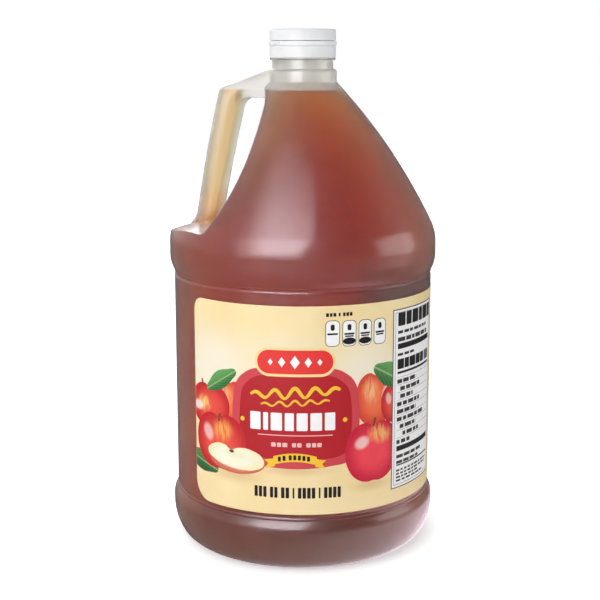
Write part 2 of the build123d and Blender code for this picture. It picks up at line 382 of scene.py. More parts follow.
def makeVinegar():
    # merged copy of the CAD contents, grown sideways into the wall
    bm = bmesh.new()
    bm.from_mesh(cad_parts["vinegar"].data)
    bmesh.ops.remove_doubles(bm, verts=bm.verts, dist=0.002 * mm)
    bmesh.ops.recalc_face_normals(bm, faces=bm.faces)
    top = max(v.co.z for v in bm.verts)
    bm.normal_update()
    surface = [
        f for f in bm.faces
        if f.normal.z > 0.9 and all(abs(v.co.z - top) < 0.01 * mm for v in f.verts)]
    onTop = {v for f in surface for v in f.verts}
    moves = {}
    for v in bm.verts:
        faces = [f for f in v.link_faces if f not in surface]
        out = sum((f.normal * f.calc_area() for f in faces), Vector())
        if out.length == 0:
            continue
        if v in onTop:
            out.z = 0
        moves[v] = out.normalized() * vinegar["intoWall"] * mm
    for v, step in moves.items():
        v.co += step
    bmesh.ops.inset_region(
        bm, faces=surface, thickness=vinegar["rimWidth"] * mm, depth=-vinegar["rimRise"] * mm,
        use_even_offset=True, use_boundary=True)
    for f in bm.faces:
        f.smooth = True
    piece = addObject("vinegarFill", meshFrom("vinegarFill", bm))
    piece.data.materials.append(makeVinegarLiquid())
    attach(piece, "root")
    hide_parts("vinegar")


makeVinegar()
print("vinegar poured")


# cap and its tear band

closure = {
    "colour": (0.84, 0.85, 0.86),
    "shadeColour": (0.80, 0.81, 0.825),
    "scuffColour": (0.70, 0.70, 0.71),
    "specular": 0.2,
    "ior": 1.5,
    "roughness": 0.5,
    "scuffRough": 0.15,
    "skinScale": 2600.0,
    "waveScale": 160.0,
    "waveShare": 0.5,
    "skinBump": 0.06,
    "skinDepth": 0.2,
    "scuffScale": 90.0,
    "scuffAmount": 0.6,
}


def makeClosurePlastic(name, offset):
    # offset moves the pattern, so that the two pieces don't match
    material, tree, shader = newMaterial(name)
    sockets = {"Vector": objectPlace(tree, -1500, 0), "Location": offset}
    place = addNode(tree, "ShaderNodeMapping", -1350, 0, sockets).outputs["Vector"]
    grain = grainFor(tree, place, closure, -1100, 200)
    rubbed = scuffsFor(tree, place, closure, -1100, -200)
    shade = mapRange(tree, grain["Tone"], 0.3, 0.7, -800, 300)
    tone = mixColour(tree, shade, closure["colour"], closure["shadeColour"], -600, 300)
    values = (rubbed, closure["scuffRough"], closure["roughness"])
    feedAll(tree, shader, {
        "Base Color": mixColour(tree, rubbed, tone, closure["scuffColour"], -350, 300),
        "Roughness": calculate(tree, "MULTIPLY_ADD", values, -600, 0),
        "Normal": bump(
            tree, grain["Height"], closure["skinBump"], closure["skinDepth"], -350, -200),
        "IOR": closure["ior"],
        "Specular IOR Level": closure["specular"],
    })
    return material


for nodeName, offset in (("cap", (0, 0, 0)), ("tear_band", (0.3, 0.1, 0.2))):
    finishNode(nodeName, makeClosurePlastic(nodeName + "Plastic", offset))
print("closure finished")


# the paper label
# On the label, x runs along the paper from the middle of its art and y runs up from the floor.

label = {
    "radius": 75.7,             # outside of the paper
    "artAngle": -73.3,          # degrees about +Z to the middle of the art
    "paper": (0.93, 0.76, 0.43),
    "paperDeep": (0.90, 0.71, 0.37),
    # lighter paper round the fruit: partly a glow in the print, partly a painted highlight
    "glow": (0.90, 0.84, 0.70),
    "glowSpots": (              # centre, size, strength
        ((-50, 114), (44, 34), 0.85),
        ((42, 112), (38, 30), 0.85),
        ((-10, 118), (70, 26), 0.5),
    ),
    "fruitShade": (0.66, 0.44, 0.20),
    "shadeSpots": (             # centre, size
        ((-36, 55), (27, 6.5)),
        ((45, 49), (20, 5.0)),
        ((0, 60), (30, 4.0)),
    ),
    "shadeStrength": 0.55,
    "gloss": 0.34,
    "glossSwing": (-0.04, 0.05),
    "specular": 0.3,
    "skinScale": 3000.0,
    "waveScale": 45.0,
    "waveShare": 0.5,
    "skinBump": 0.05,
    "skinDepth": 0.1,
}


def makeLabelPaper():
    material, tree, shader = newMaterial("labelPaper")
    place = objectPlace(tree, -1900, 0)
    turn = addNode(tree, "ShaderNodeMapping", -1700, -300, {
        "Vector": place, "Rotation": (0, 0, math.radians(-label["artAngle"]))})
    turned = splitUp(tree, turn.outputs["Vector"], -1500, -300)
    angle = calculate(tree, "ARCTAN2", (turned["Y"], turned["X"]), -1300, -300)
    along = calculate(tree, "MULTIPLY", (angle, label["radius"]), -1100, -300)
    height = calculate(tree, "MULTIPLY", (turned["Z"], 1000.0), -1300, 0)
    flat = addNode(tree, "ShaderNodeCombineXYZ", -900, -150, {"X": along, "Y": height}).outputs[0]
    glows = [
        softSpot(tree, flat, centre, size, 0, 0.15, -700, -150, strength)
        for centre, size, strength in label["glowSpots"]]
    glow = glows[0]
    for other in glows[1:]:
        glow = calculate(tree, "MAXIMUM", (glow, other), -100, -150)
    fibres = grainFor(tree, place, label, -900, 300)
    deep = mapRange(tree, fibres["Tone"], 0.3, 0.7, -600, 300)
    tone = mixColour(tree, deep, label["paper"], label["paperDeep"], -400, 300)
    # lighter paper round the fruit, partly a painted highlight
    tone = mixColour(tree, glow, tone, label["glow"], 0, 200)
    for centre, size in label["shadeSpots"]:
        under = softSpot(tree, flat, centre, size, 0, 0.0, -700, -700, label["shadeStrength"])
        tone = mixColour(tree, under, tone, label["fruitShade"], 200, 200)
    low, high = (label["gloss"] + swing for swing in label["glossSwing"])
    feedAll(tree, shader, {
        "Base Color": tone,
        "Roughness": mapRange(tree, fibres["Height"], 0.3, 0.7, -600, 50, low, high),
        "Normal": bump(
            tree, fibres["Height"], label["skinBump"], label["skinDepth"], -300, -500),
        "Specular IOR Level": label["specular"],
    })
    return material


finishNode("label", makeLabelPaper())
print("label paper finished")


# printing on the label
# Flat shapes are drawn in millimetres on the label's x and y, then cut into narrow strips and
# wrapped round the paper as thin closed films.

printing = {
    "strip": 2.5,               # width of the strips that follow the curve
    "film": 0.012,              # thickness of one layer of ink
    "layer": 0.022,             # step from one layer to the next
    "leftEdge": -65.8,          # just inside the end of the paper
    "merge": 0.02,              # points nearer than this become one
    "cloudScale": 160.0,
    "toothScale": 3200.0,
    "toothBump": 0.05,
    "toothDepth": 0.05,
    "roughness": (0.42, 0.54),
    "ior": 1.3,
}


def makeInkFinish():
    # faint mottling and the paper's tooth, for every printed colour
    group, start, end = newGroup(
        "inkFinish",
        [
            ("Position", "Vector", None),
            ("Colour", "Color", (1, 1, 1, 1)),
            ("Mottle", "Float", 0.08),
        ],
        [("Colour", "Color"), ("Height", "Float"), ("Roughness", "Float")],
    )
    cloud = noise(group, start["Position"], printing["cloudScale"], 4, -600, 150)
    tooth = noise(group, start["Position"], printing["toothScale"], 2, -600, -150)
    swing = mapRange(group, cloud, 0.3, 0.7, -350, 150)
    amount = calculate(group, "MULTIPLY", (swing, start["Mottle"]), -150, 150)
    darker = mixColour(group, 1.0, start["Colour"], (0.55, 0.5, 0.5), -150, -50, "MULTIPLY")
    feedAll(group, end, {
        "Colour": mixColour(group, amount, start["Colour"], darker, 100, 50),
        "Height": tooth,
        "Roughness": mapRange(group, cloud, 0.3, 0.7, -150, -300, *printing["roughness"]),
    })
    return group


inkFinish = makeInkFinish()


def finishInk(tree, shader, colour, mottle=0.08):
    # colour is a socket or a plain colour
    ink = useGroup(tree, inkFinish, -400, 0, {
        "Position": objectPlace(tree, -700, -300), "Colour": colour, "Mottle": mottle})
    feedAll(tree, shader, {
        "Base Color": ink["Colour"],
        "Roughness": ink["Roughness"],
        "Normal": bump(
            tree, ink["Height"], printing["toothBump"], printing["toothDepth"], -200, -300),
        "IOR": printing["ior"],
    })


def makeInk(name, colour):
    material, tree, shader = newMaterial(name)
    finishInk(tree, shader, colour)
    return material


inks = {
    "shieldEdge": (0.62, 0.06, 0.075),
    "shieldRed": (0.46, 0.010, 0.018),
    "tabRed": (0.78, 0.035, 0.030),
    "cream": (0.95, 0.72, 0.33),
    "yellow": (0.93, 0.56, 0.035),
    "white": (0.94, 0.935, 0.93),
    "palePink": (0.85, 0.52, 0.50),
    "black": (0.012, 0.011, 0.011),
    "grey": (0.045, 0.043, 0.043),
    "stemBrown": (0.16, 0.07, 0.03),
}
ink = {name: makeInk(name + "Ink", colour) for name, colour in inks.items()}


# A look is the deep, middle and warm colours, the warm spot, the shine spot and the shine's
# strength; a spot is its centre, size and turn.
appleLooks = {
    "frontAppleSkin": (
        (0.55, 0.016, 0.022), (0.82, 0.085, 0.055), (0.95, 0.46, 0.10),
        ((0.14, 0.42), (0.5, 0.55), -14), ((-0.46, 0.26), (0.26, 0.4), 18), 0.5),
    "rightAppleSkin": (
        (0.60, 0.012, 0.045), (0.88, 0.065, 0.09), (0.95, 0.52, 0.16),
        ((0.24, 0.56), (0.6, 0.42), -18), ((-0.42, 0.34), (0.34, 0.26), 24), 0.6),
    "backAppleSkin": (
        (0.55, 0.016, 0.022), (0.80, 0.08, 0.055), (0.97, 0.66, 0.22),
        ((-0.30, 0.05), (0.5, 0.5), 0), ((-0.62, -0.1), (0.34, 0.3), 0), 0.8),
    "orangeAppleSkin": (
        (0.70, 0.06, 0.03), (0.88, 0.17, 0.065), (0.95, 0.48, 0.22),
        ((-0.25, 0.3), (0.55, 0.7), 20), ((0.62, 0.15), (0.3, 0.42), -25), 0.75),
    "cutAppleSkin": (
        (0.62, 0.12, 0.08), (0.80, 0.32, 0.18), (0.85, 0.45, 0.22),
        ((0.2, -0.4), (0.5, 0.5), 0), ((0, 0.9), (0.1, 0.1), 0), 0.2),
}
leafGreens = {
    "darkLeafGreen": ((0.02, 0.10, 0.035), (0.07, 0.24, 0.07)),
    "freshLeafGreen": ((0.03, 0.16, 0.04), (0.12, 0.36, 0.10)),
}
fruitColours = {
    "shine": (0.95, 0.86, 0.82),
    "specks": (0.95, 0.75, 0.45),
    "rib": (0.42, 0.62, 0.26),
    "veins": (0.36, 0.55, 0.22),
    "flesh": (0.92, 0.90, 0.70),
    "fleshEdge": (0.90, 0.82, 0.50),
    "core": (0.80, 0.80, 0.45),
}


def makeAppleSkin(name, deep, middle, warm, warmSpot, shineSpot, shine):
    material, tree, shader = newMaterial(name)
    flat = printPlace(tree, -2200, 0)
    edge = measure(tree, "LENGTH", (flat,), -1800, 300)
    rim = mapRange(tree, edge, 0.35, 1.05, -1500, 300)
    body = mixColour(tree, rim, middle, deep, -1300, 300)
    sockets = {"Vector": flat, "Scale": (9.0, 1.6, 1.0)}
    stretched = addNode(tree, "ShaderNodeMapping", -2000, -300, sockets).outputs["Vector"]
    streaks = mapRange(tree, noise(tree, stretched, 1.0, 5, -1800, -300), 0.32, 0.6, -1500, -300)
    glow = softSpot(tree, flat, *warmSpot, 0.15, -1900, 0)
    frayed = calculate(tree, "MULTIPLY", (glow, streaks), -1300, 0)
    body = mixColour(tree, frayed, body, warm, -1100, 200)
    white = softSpot(tree, flat, *shineSpot, 0.45, -1900, -600, shine)
    body = mixColour(tree, white, body, fruitColours["shine"], -900, 200)
    specks = addNode(tree, "ShaderNodeTexVoronoi", -1500, -800, {"Vector": flat, "Scale": 9.0})
    dots = mapRange(tree, specks.outputs["Distance"], 0.03, 0.09, -1300, -800, 0.45, 0.0)
    body = mixColour(tree, dots, body, fruitColours["specks"], -700, 200)
    finishInk(tree, shader, body, 0.12)
    return material


def makeLeafGreen(name, dark, light):
    material, tree, shader = newMaterial(name)
    split = splitUp(tree, printPlace(tree, -1800, 0), -1600, 0)
    upper = mapRange(tree, split["Y"], -0.7, 0.7, -1300, 100)
    body = mixColour(tree, upper, dark, light, -1100, 100)
    across = calculate(tree, "ABSOLUTE", (split["Y"],), -1400, -200)
    rib = mapRange(tree, across, 0.02, 0.10, -1300, -100, 0.7, 0.0)
    body = mixColour(tree, rib, body, fruitColours["rib"], -900, 100)
    slant = calculate(tree, "SUBTRACT", (split["X"], across), -1250, -300)
    turns = calculate(tree, "MULTIPLY", (slant, 22.0), -1100, -300)
    wave = calculate(tree, "SINE", (turns,), -950, -300)
    veins = mapRange(tree, wave, 0.85, 1.0, -800, -300, 0.0, 0.35)
    body = mixColour(tree, veins, body, fruitColours["veins"], -700, 100)
    finishInk(tree, shader, body, 0.2)
    return material


def makeFlesh(name):
    material, tree, shader = newMaterial(name)
    flat = printPlace(tree, -1800, 0)
    edge = mapRange(tree, measure(tree, "LENGTH", (flat,), -1500, 200), 0.55, 1.0, -1300, 200)
    body = mixColour(tree, edge, fruitColours["flesh"], fruitColours["fleshEdge"], -1100, 200)
    core = softSpot(tree, flat, (0.08, 0.25), (0.5, 0.55), 0, 0.2, -1600, -100, 0.5)
    body = mixColour(tree, core, body, fruitColours["core"], -800, 100)
    finishInk(tree, shader, body)
    return material


# outlines, each a list of points

def roundedBox(left, low, right, high, corner=0.0, steps=5):
    if corner == 0:
        return [(left, low), (right, low), (right, high), (left, high)]
    corners = (
        (right - corner, low + corner, -90), (right - corner, high - corner, 0),
        (left + corner, high - corner, 90), (left + corner, low + corner, 180))
    points = []
    for x, y, start in corners:
        for step in range(steps + 1):
            turn = math.radians(start + 90 * step / steps)
            points.append((x + corner * math.cos(turn), y + corner * math.sin(turn)))
    return points


def oval(x, y, wide, high, steps=40):
    turns = [2 * math.pi * k / steps for k in range(steps)]
    return [(x + wide * math.cos(turn), y + high * math.sin(turn)) for turn in turns]


def mirrored(side):
    # the right side from the top down, closed by its mirror image
    return side + [(-x, y) for x, y in reversed(side)]


def appleOutline(x, y, wide, high):
    # round, with a dip at the top and narrower towards the bottom
    shape = [
        (0, 0.88), (0.28, 0.98), (0.66, 0.86), (0.93, 0.48), (1.0, 0.02), (0.9, -0.48),
        (0.62, -0.85), (0.24, -1.0), (0, -0.98)]
    whole = shape + [(-a, b) for a, b in reversed(shape[1:-1])]
    return [(x + wide * a, y + high * b) for a, b in whole]


def leafOutline(x, y, length, wide, turn):
    shape = [
        (-0.5, 0), (-0.3, 0.3), (0.0, 0.48), (0.28, 0.32), (0.5, 0), (0.28, -0.3),
        (0.0, -0.44), (-0.3, -0.3)]
    c, s = math.cos(math.radians(turn)), math.sin(math.radians(turn))
    return [
        (x + length * a * c - wide * b * s, y + length * a * s + wide * b * c)
        for a, b in shape]


def waveLine(left, right, middle, height, rise, waves):
    # a long swung line, highest in its middle
    steps = int(waves * 24)
    spine = []
    for k in range(steps + 1):
        share = k / steps
        swell = 0.35 + 0.65 * math.sin(math.pi * share)
        swing = height / 2 * swell * math.sin(2 * math.pi * waves * share)
        y = middle + rise * (share - 0.5) + swing
        spine.append(Vector((left + (right - left) * share, y, 0)))
    return spine


# from outlines to films

def addLoop(curve, points, smooth):
    spline = curve.splines.new("BEZIER" if smooth else "POLY")
    if smooth:
        spline.bezier_points.add(len(points) - 1)
        for knot, (x, y) in zip(spline.bezier_points, points):
            knot.co = (x, y, 0)
            knot.handle_left_type = knot.handle_right_type = "AUTO"
        spline.resolution_u = 5
    else:
        spline.points.add(len(points) - 1)
        for knot, (x, y) in zip(spline.points, points):
            knot.co = (x, y, 0, 1)
    spline.use_cyclic_u = True


def meshFromCurve(name, curve):
    drawing = bpy.data.objects.new(name, curve)
    mesh = bpy.data.meshes.new_from_object(drawing)
    bm = bmesh.new()
    bm.from_mesh(mesh)
    bpy.data.objects.remove(drawing)
    bpy.data.meshes.remove(mesh)
    return bm


def cutAcross(bm, x, side=1, clear=False):
    bmesh.ops.bisect_plane(
        bm, geom=bm.verts[:] + bm.edges[:] + bm.faces[:], plane_co=(x, 0, 0),
        plane_no=(side, 0, 0), clear_outer=clear)


def wrapOnLabel(bm, layer, lift):
    # flat millimetres to the curve of the label; lift says how far out a point is
    base = label["radius"] + layer * printing["layer"]
    for v in bm.verts:
        angle = math.radians(label["artAngle"]) + v.co.x / label["radius"]
        out = base + lift(v.co.z)
        v.co = Vector((math.cos(angle) * out, math.sin(angle) * out, v.co.y)) * mm


def keepFilm(name, bm, material):
    # every part of a film is wound the same way, so its volume tells which side is out
    if bm.calc_volume(signed=True) < 0:
        bmesh.ops.reverse_faces(bm, faces=bm.faces[:])
    film = addObject(name, meshFrom(name, bm))
    film.data.materials.append(material)
    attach(film, "root")


def printFilm(name, material, layer, loops, smooth=False, mapBox=None, mapTurn=0.0):
    # one printed colour: closed loops are filled, and a loop inside another is a hole
    curve = bpy.data.curves.new(name, "CURVE")
    curve.dimensions = "2D"
    curve.fill_mode = "BOTH"
    for loop in loops:
        addLoop(curve, loop, smooth)
    bm = meshFromCurve(name, curve)
    bmesh.ops.remove_doubles(bm, verts=bm.verts, dist=0.001)
    cutAcross(bm, printing["leftEdge"], -1, True)
    strip = printing["strip"]
    cut = math.ceil(min(v.co.x for v in bm.verts) / strip) * strip
    right = max(v.co.x for v in bm.verts)
    while cut < right:
        cutAcross(bm, cut)
        cut += strip
    bmesh.ops.remove_doubles(bm, verts=bm.verts, dist=printing["merge"])
    bm.normal_update()
    bmesh.ops.reverse_faces(bm, faces=[f for f in bm.faces if f.normal.z < 0])
    bmesh.ops.solidify(bm, geom=bm.faces[:], thickness=printing["film"])
    if mapBox:
        x, y, wide, tall = mapBox
        c, s = math.cos(math.radians(-mapTurn)), math.sin(math.radians(-mapTurn))
        printMap = bm.loops.layers.uv.new("printMap")
        for face in bm.faces:
            for corner in face.loops:
                a, b = corner.vert.co.x - x, corner.vert.co.y - y
                corner[printMap].uv = ((a * c - b * s) / wide, (a * s + b * c) / tall)
    wrapOnLabel(bm, layer, abs)
    keepFilm(name, bm, material)


def printStroke(name, material, layer, spine, thick):
    # a pen stroke: a round wire is flattened into the film
    curve = bpy.data.curves.new(name, "CURVE")
    curve.dimensions = "3D"
    curve.bevel_depth = thick / 2
    curve.bevel_resolution = 2
    curve.use_fill_caps = True
    spline = curve.splines.new("POLY")
    spline.points.add(len(spine) - 1)
    for k, (knot, point) in enumerate(zip(spline.points, spine)):
        knot.co = (*point, 1)
        knot.radius = 0.75 + 0.45 * abs(math.sin(k * 0.143))
    bm = meshFromCurve(name, curve)
    bmesh.ops.recalc_face_normals(bm, faces=bm.faces[:])
    wrapOnLabel(bm, layer, lambda z: printing["film"] * (0.5 + z / thick))
    keepFilm(name, bm, material)


def barRow(spans, low, high, corner):
    # bars of one height; spans are their left and right ends
    return [roundedBox(left, low, right, high, corner, 2) for left, right in spans]


def printFruit():
    skin = {name: makeAppleSkin(name, *look) for name, look in appleLooks.items()}
    green = {name: makeLeafGreen(name, *colours) for name, colours in leafGreens.items()}
    apples = (
        # name, skin, layer, x, y, half width, half height
        ("printedAppleBackLeft", "orangeAppleSkin", 1, -38.5, 96.5, 11, 12),
        ("printedAppleLeft", "backAppleSkin", 2, -53.5, 92, 15, 12.5),
        ("printedAppleBackRight", "orangeAppleSkin", 1, 46.5, 98.5, 12.5, 15),
        ("printedAppleFarRight", "frontAppleSkin", 2, 60.5, 94, 10, 11),
        ("printedAppleFrontLeft", "frontAppleSkin", 5, -46.0, 72.5, 18, 16),
        ("printedAppleFrontRight", "rightAppleSkin", 5, 45.5, 68.3, 17.5, 17.2),
    )
    for name, look, layer, *box in apples:
        printFilm(name, skin[look], layer, [appleOutline(*box)], True, box)
    leaves = (
        # name, green, layer, x, y, length, width, turn
        ("printedLeafLeft", "freshLeafGreen", 3, -44.5, 108, 24.5, 11, 32),
        ("printedLeafLow", "darkLeafGreen", 4, -60, 58.5, 27, 13, -14),
        ("printedLeafRight", "freshLeafGreen", 3, 56.5, 110.5, 25, 15, -28),
    )
    for name, look, layer, x, y, length, wide, turn in leaves:
        outline = leafOutline(x, y, length, wide, turn)
        box = (x, y, length / 2, wide / 2)
        printFilm(name, green[look], layer, [outline], True, box, turn)
    stems = [
        [(-46.6, 84), (-45.4, 84), (-44.6, 88.5), (-46.0, 88.8)],
        [(44.8, 83), (46.0, 83), (47.2, 87.5), (45.9, 87.9)],
        [(-58.8, 102), (-57.8, 102), (-58.8, 106.5), (-60.0, 106.3)],
    ]
    printFilm("printedStems", ink["stemBrown"], 6.5, stems)
    box = (-34.8, 63.2, 18.2, 7.4)
    printFilm("printedHalfSkin", skin["cutAppleSkin"], 7, [oval(*box)], True, box)
    half = [
        (-54.6, 66), (-50, 70.6), (-42, 71.4), (-37.5, 69), (-33, 70.8), (-24, 70.2),
        (-18, 66.2), (-17.6, 62.2), (-22, 59.4), (-30, 58.4), (-40, 59.2), (-48.5, 61.4)]
    printFilm("printedHalfFlesh", makeFlesh("appleFlesh"), 8, [half], True, (-36, 65, 19, 7.5))
    printFilm("printedSeed", ink["stemBrown"], 9, [oval(-37.2, 68.3, 1.6, 0.9, 16)], True)


def printShield():
    outer = [
        (22, 117.4), (28.5, 114.4), (33.6, 109), (35.6, 102), (35.6, 76), (34.2, 69),
        (30, 64.6), (20, 62.6), (8, 61.5)]
    inner = [
        (20, 113.4), (25.5, 110.6), (29.6, 106), (31.0, 101), (31.0, 77), (29.6, 71.6),
        (26, 68.6), (16, 66.8), (6, 66.2)]
    printFilm("printedShieldEdge", ink["shieldEdge"], 3, [mirrored(outer)], True)
    printFilm("printedShieldField", ink["shieldRed"], 4, [mirrored(inner)], True)


def printBadge():
    # a round-ended badge with a row of diamonds
    edge = roundedBox(-22.4, 113.4, 22.4, 129.6, 8.05, 10)
    field = roundedBox(-20.9, 114.9, 20.9, 128.1, 6.55, 10)
    printFilm("printedBadgeEdge", ink["cream"], 6, [edge])
    printFilm("printedBadgeField", ink["tabRed"], 7, [field])
    diamonds = []
    middle = 121.5
    for x, tall in ((-13.5, 1.9), (-7.2, 2.8), (0.0, 3.7), (7.2, 2.8), (13.5, 1.9)):
        wide = 0.72 * tall
        diamonds.append([
            (x - wide, middle), (x, middle - tall), (x + wide, middle), (x, middle + tall)])
    printFilm("printedBadgeDiamonds", ink["white"], 8, diamonds)


def printWording():
    # bars, blocks and waves stand where a label has its words
    upper = waveLine(-25, 25, 104.2, 5.6, 3.0, 4.5)
    lower = waveLine(-19, 19, 98.6, 3.0, 2.2, 4.5)
    printStroke("printedWaveUpper", ink["yellow"], 5, upper, 1.9)
    printStroke("printedWaveLower", ink["yellow"], 5, lower, 1.1)
    blocks = []
    x = -25.2
    for k, wide in enumerate((6.0, 2.8, 6.3, 5.0, 6.0, 6.4, 5.8)):
        low = 83 + 0.03 * k
        blocks.append(roundedBox(x, low, x + wide, low + 10, 0.5, 2))
        x += wide + 1.5
    printFilm("printedBlocks", ink["white"], 5, blocks)
    dots = [oval(-30.0, 88.2, 1.3, 1.3, 20), oval(27.8, 88.6, 1.3, 1.3, 20)]
    printFilm("printedDots", ink["yellow"], 5, dots)
    spans = (
        (-13.2, -10.6), (-9.9, -7.6), (-6.9, -4.2), (-1.6, 0.6), (1.2, 3.6), (6.2, 8.6),
        (9.3, 11.6), (12.2, 14.6))
    rule = roundedBox(-20.8, 80.1, 20.8, 80.6)
    printFilm("printedSmallBars", ink["palePink"], 5, barRow(spans, 73.8, 76.2, 0.4) + [rule])
    printRibbon()
    strokes = []
    x = -23.0
    for count, wide in ((3, 1.9), (2, 1.8), (2, 1.9), (1, 0.9), (4, 1.9), (1, 0.9), (4, 1.9)):
        for stroke in range(count):
            strokes.append(roundedBox(x, 44.4, x + wide, 50.6, 0.35, 2))
            x += wide + 0.65
        x += 1.35
    printFilm("printedLowerBars", ink["black"], 1, strokes)


def printRibbon():
    # a bowed ribbon with two tails and a row of dashes
    bend, half = 0.014, 2.4
    bow = {x: 67.9 - bend * x * x for x in range(-12, 13, 2)}
    ribbon = [(x, y + half) for x, y in bow.items()]
    ribbon += [(x, y - half) for x, y in reversed(bow.items())]
    tail = ((11.2, 67.2), (17.2, 66.0), (14.9, 64.2), (16.8, 61.4), (11.2, 62.6))
    tails = [[(side * x, y) for x, y in tail] for side in (-1, 1)]
    printFilm("printedRibbonTails", ink["yellow"], 5, tails)
    printFilm("printedRibbon", ink["yellow"], 6, [ribbon])
    dashes = []
    for x in (-8.6, -6.0, -2.6, -0.1, 2.4, 4.9, 7.4):
        drop = bend * x * x
        dashes.append(roundedBox(x - 0.8, 66.5 - drop, x + 0.8, 69.3 - drop, 0.2, 2))
    printFilm("printedRibbonDashes", ink["black"], 7, dashes)


def insetPair(left, low, right, high, wide, corner=0.0, inner=0.0):
    # the two loops of a line that runs round a box
    return [
        roundedBox(left, low, right, high, corner),
        roundedBox(left + wide, low + wide, right - wide, high - wide, inner)]


def printTiles():
    # a row of white tiles with small marks
    edges, fields, marks, lenses = [], [], [], []
    for k in range(4):
        left, low = 16.4 + 9.5 * k, 129.9 - 0.3 * k
        right, high = left + 8.1, low + 14.4
        middle = (left + right) / 2
        edges += insetPair(left, low, right, high, 0.35, 2.6, 2.3)
        fields.append(roundedBox(left + 0.2, low + 0.2, right - 0.2, high - 0.2, 2.4))
        marks.append(roundedBox(middle - 1.1, high - 5.6, middle + 1.1, high - 2.2, 0.9, 3))
        marks.append(roundedBox(middle - 2.9, high - 8.0, middle + 2.9, high - 7.0, 0.2, 2))
        if k > 0:
            marks.append(roundedBox(middle - 2.5, high - 9.2, middle + 2.5, high - 8.4, 0.2, 2))
        if k in (1, 2):
            lenses.append(oval(middle, low + 2.9, 3.7, 1.9, 24))
    spans = (
        (16.8, 18.4), (18.9, 20.3), (20.8, 22.4), (23.8, 24.8), (26.2, 27.6), (28.1, 29.6),
        (30.1, 31.6))
    printFilm("printedTileFields", ink["white"], 1, fields)
    printFilm("printedTileEdges", ink["grey"], 2, edges)
    marks += lenses + barRow(spans, 146.4, 148.4, 0.3)
    printFilm("printedTileMarks", ink["black"], 2, marks)


panel = {
    "box": (58.6, 43.0, 104.0, 146.6),
    "margin": 4.0,
    "heavyRules": ((123.8, 126.9), (109.6, 110.9), (64.6, 67.6), (56.0, 56.8)),
    "titles": (                 # low, high, corner, gap, widths
        (136.9, 144.4, 0.5, 0.85, (6.4, 5.2, 6.8, 4.4, 7.2, 5.0)),
        (112.3, 118.0, 0.4, 0.6, (5.6, 4.2, 6.4, 5.2, 4.6)),
    ),
    "headRows": (               # height, indent, share of the width, size
        (133.4, 0, 0.86, 1.7), (129.2, 0, 0.9, 2.4), (120.6, 0, 0.42, 1.5)),
    "listTop": 105.2,
    "listStep": 4.4,
    "listRows": (               # indent, share of the width
        (0, 0.5), (2.6, 0.62), (2.6, 0.4), (0, 0.62), (0, 0.5), (0, 0.78), (2.6, 0.5),
        (5.2, 0.6), (0, 0.34)),
    "footRows": (
        (61.4, 0, 0.7, 1.9), (58.0, 0, 0.6, 1.7), (53.2, 0, 0.95, 1.1), (51.2, 0, 0.9, 1.1),
        (49.2, 0, 0.6, 1.1), (47.2, 0, 0.8, 1.1)),
}


def printPanel():
    # a white panel with rules and bars that runs round the side
    left, low, right, high = panel["box"]
    start, stop = left + panel["margin"], right - panel["margin"]
    top, step = panel["listTop"], panel["listStep"]
    lines = insetPair(left, low, right, high, 0.55)
    lines += insetPair(left + 1.9, low + 1.9, right - 1.9, high - 1.9, 0.25)
    printFilm("printedPanelField", ink["white"], 6, [roundedBox(left, low, right, high)])
    printFilm("printedPanelFrame", ink["grey"], 7, lines)
    heavy = [roundedBox(start, bottom, stop, above) for bottom, above in panel["heavyRules"]]
    for bottom, above, corner, gap, widths in panel["titles"]:
        x = start
        for wide in widths:
            heavy.append(roundedBox(x, bottom, x + wide, above, corner, 2))
            x += wide + gap
    ends = [(stop - 7.5 + 2.6 * k, stop - 5.4 + 2.6 * k) for k in range(3)]
    heavy += barRow(ends, 112.3, 118.0, 0.4)
    printFilm("printedPanelHeavy", ink["black"], 7, heavy)
    random.seed(11)
    rows = list(panel["headRows"])
    for k, (indent, share) in enumerate(panel["listRows"]):
        rows.append((top - step * k, indent, share, 2.3))
    rows += panel["footRows"]
    fine = []
    for y, indent, share, tall in rows:
        x = start + indent
        end = start + (stop - start) * share
        while x < end:
            wide = random.uniform(2.6, 6.5) * (0.7 if tall < 1.5 else 1)
            fine.append(roundedBox(x, y - tall / 2, min(x + wide, end), y + tall / 2))
            x += wide + random.choice((0.9, 1.2))
    printFilm("printedPanelText", ink["grey"], 7, fine)
    heights = [top + 2.3 - step * k for k in range(len(panel["listRows"]))]
    rules = [roundedBox(start, y, stop, y + 0.15) for y in heights]
    printFilm("printedPanelRules", ink["grey"], 8, rules)


def printBackText():
    # plain paragraphs and a field of bars on the paper that runs to the back
    random.seed(5)
    words = []
    start, wideRow, rowStep = 113.0, 82, 3.4
    for high, count in ((142, 7), (108, 6), (78, 4)):
        for row in range(count):
            y = high - rowStep * row
            x = start
            share = 0.55 if row == count - 1 else random.uniform(0.9, 1.0)
            end = start + wideRow * share
            while x < end:
                wide = random.uniform(2.0, 7.0)
                words.append(roundedBox(x, y, min(x + wide, end), y + 1.5))
                x += wide + 1.2
    printFilm("printedBackText", ink["grey"], 1, words)
    bars = []
    x = 150.0
    while x < 184:
        wide = random.choice((0.4, 0.7, 1.1))
        bars.append(roundedBox(x, 43.5, x + wide, 59.0))
        x += wide + random.choice((0.45, 0.7, 1.0))
    field = roundedBox(146, 41.5, 188.5, 61.0, 1.0, 3)
    printFilm("printedBackField", ink["white"], 1, [field])
    printFilm("printedBackBars", ink["black"], 2, bars)


printFruit()
printShield()
printBadge()
printWording()
printTiles()
printPanel()
printBackText()
print("label printed")


# floor, light and camera

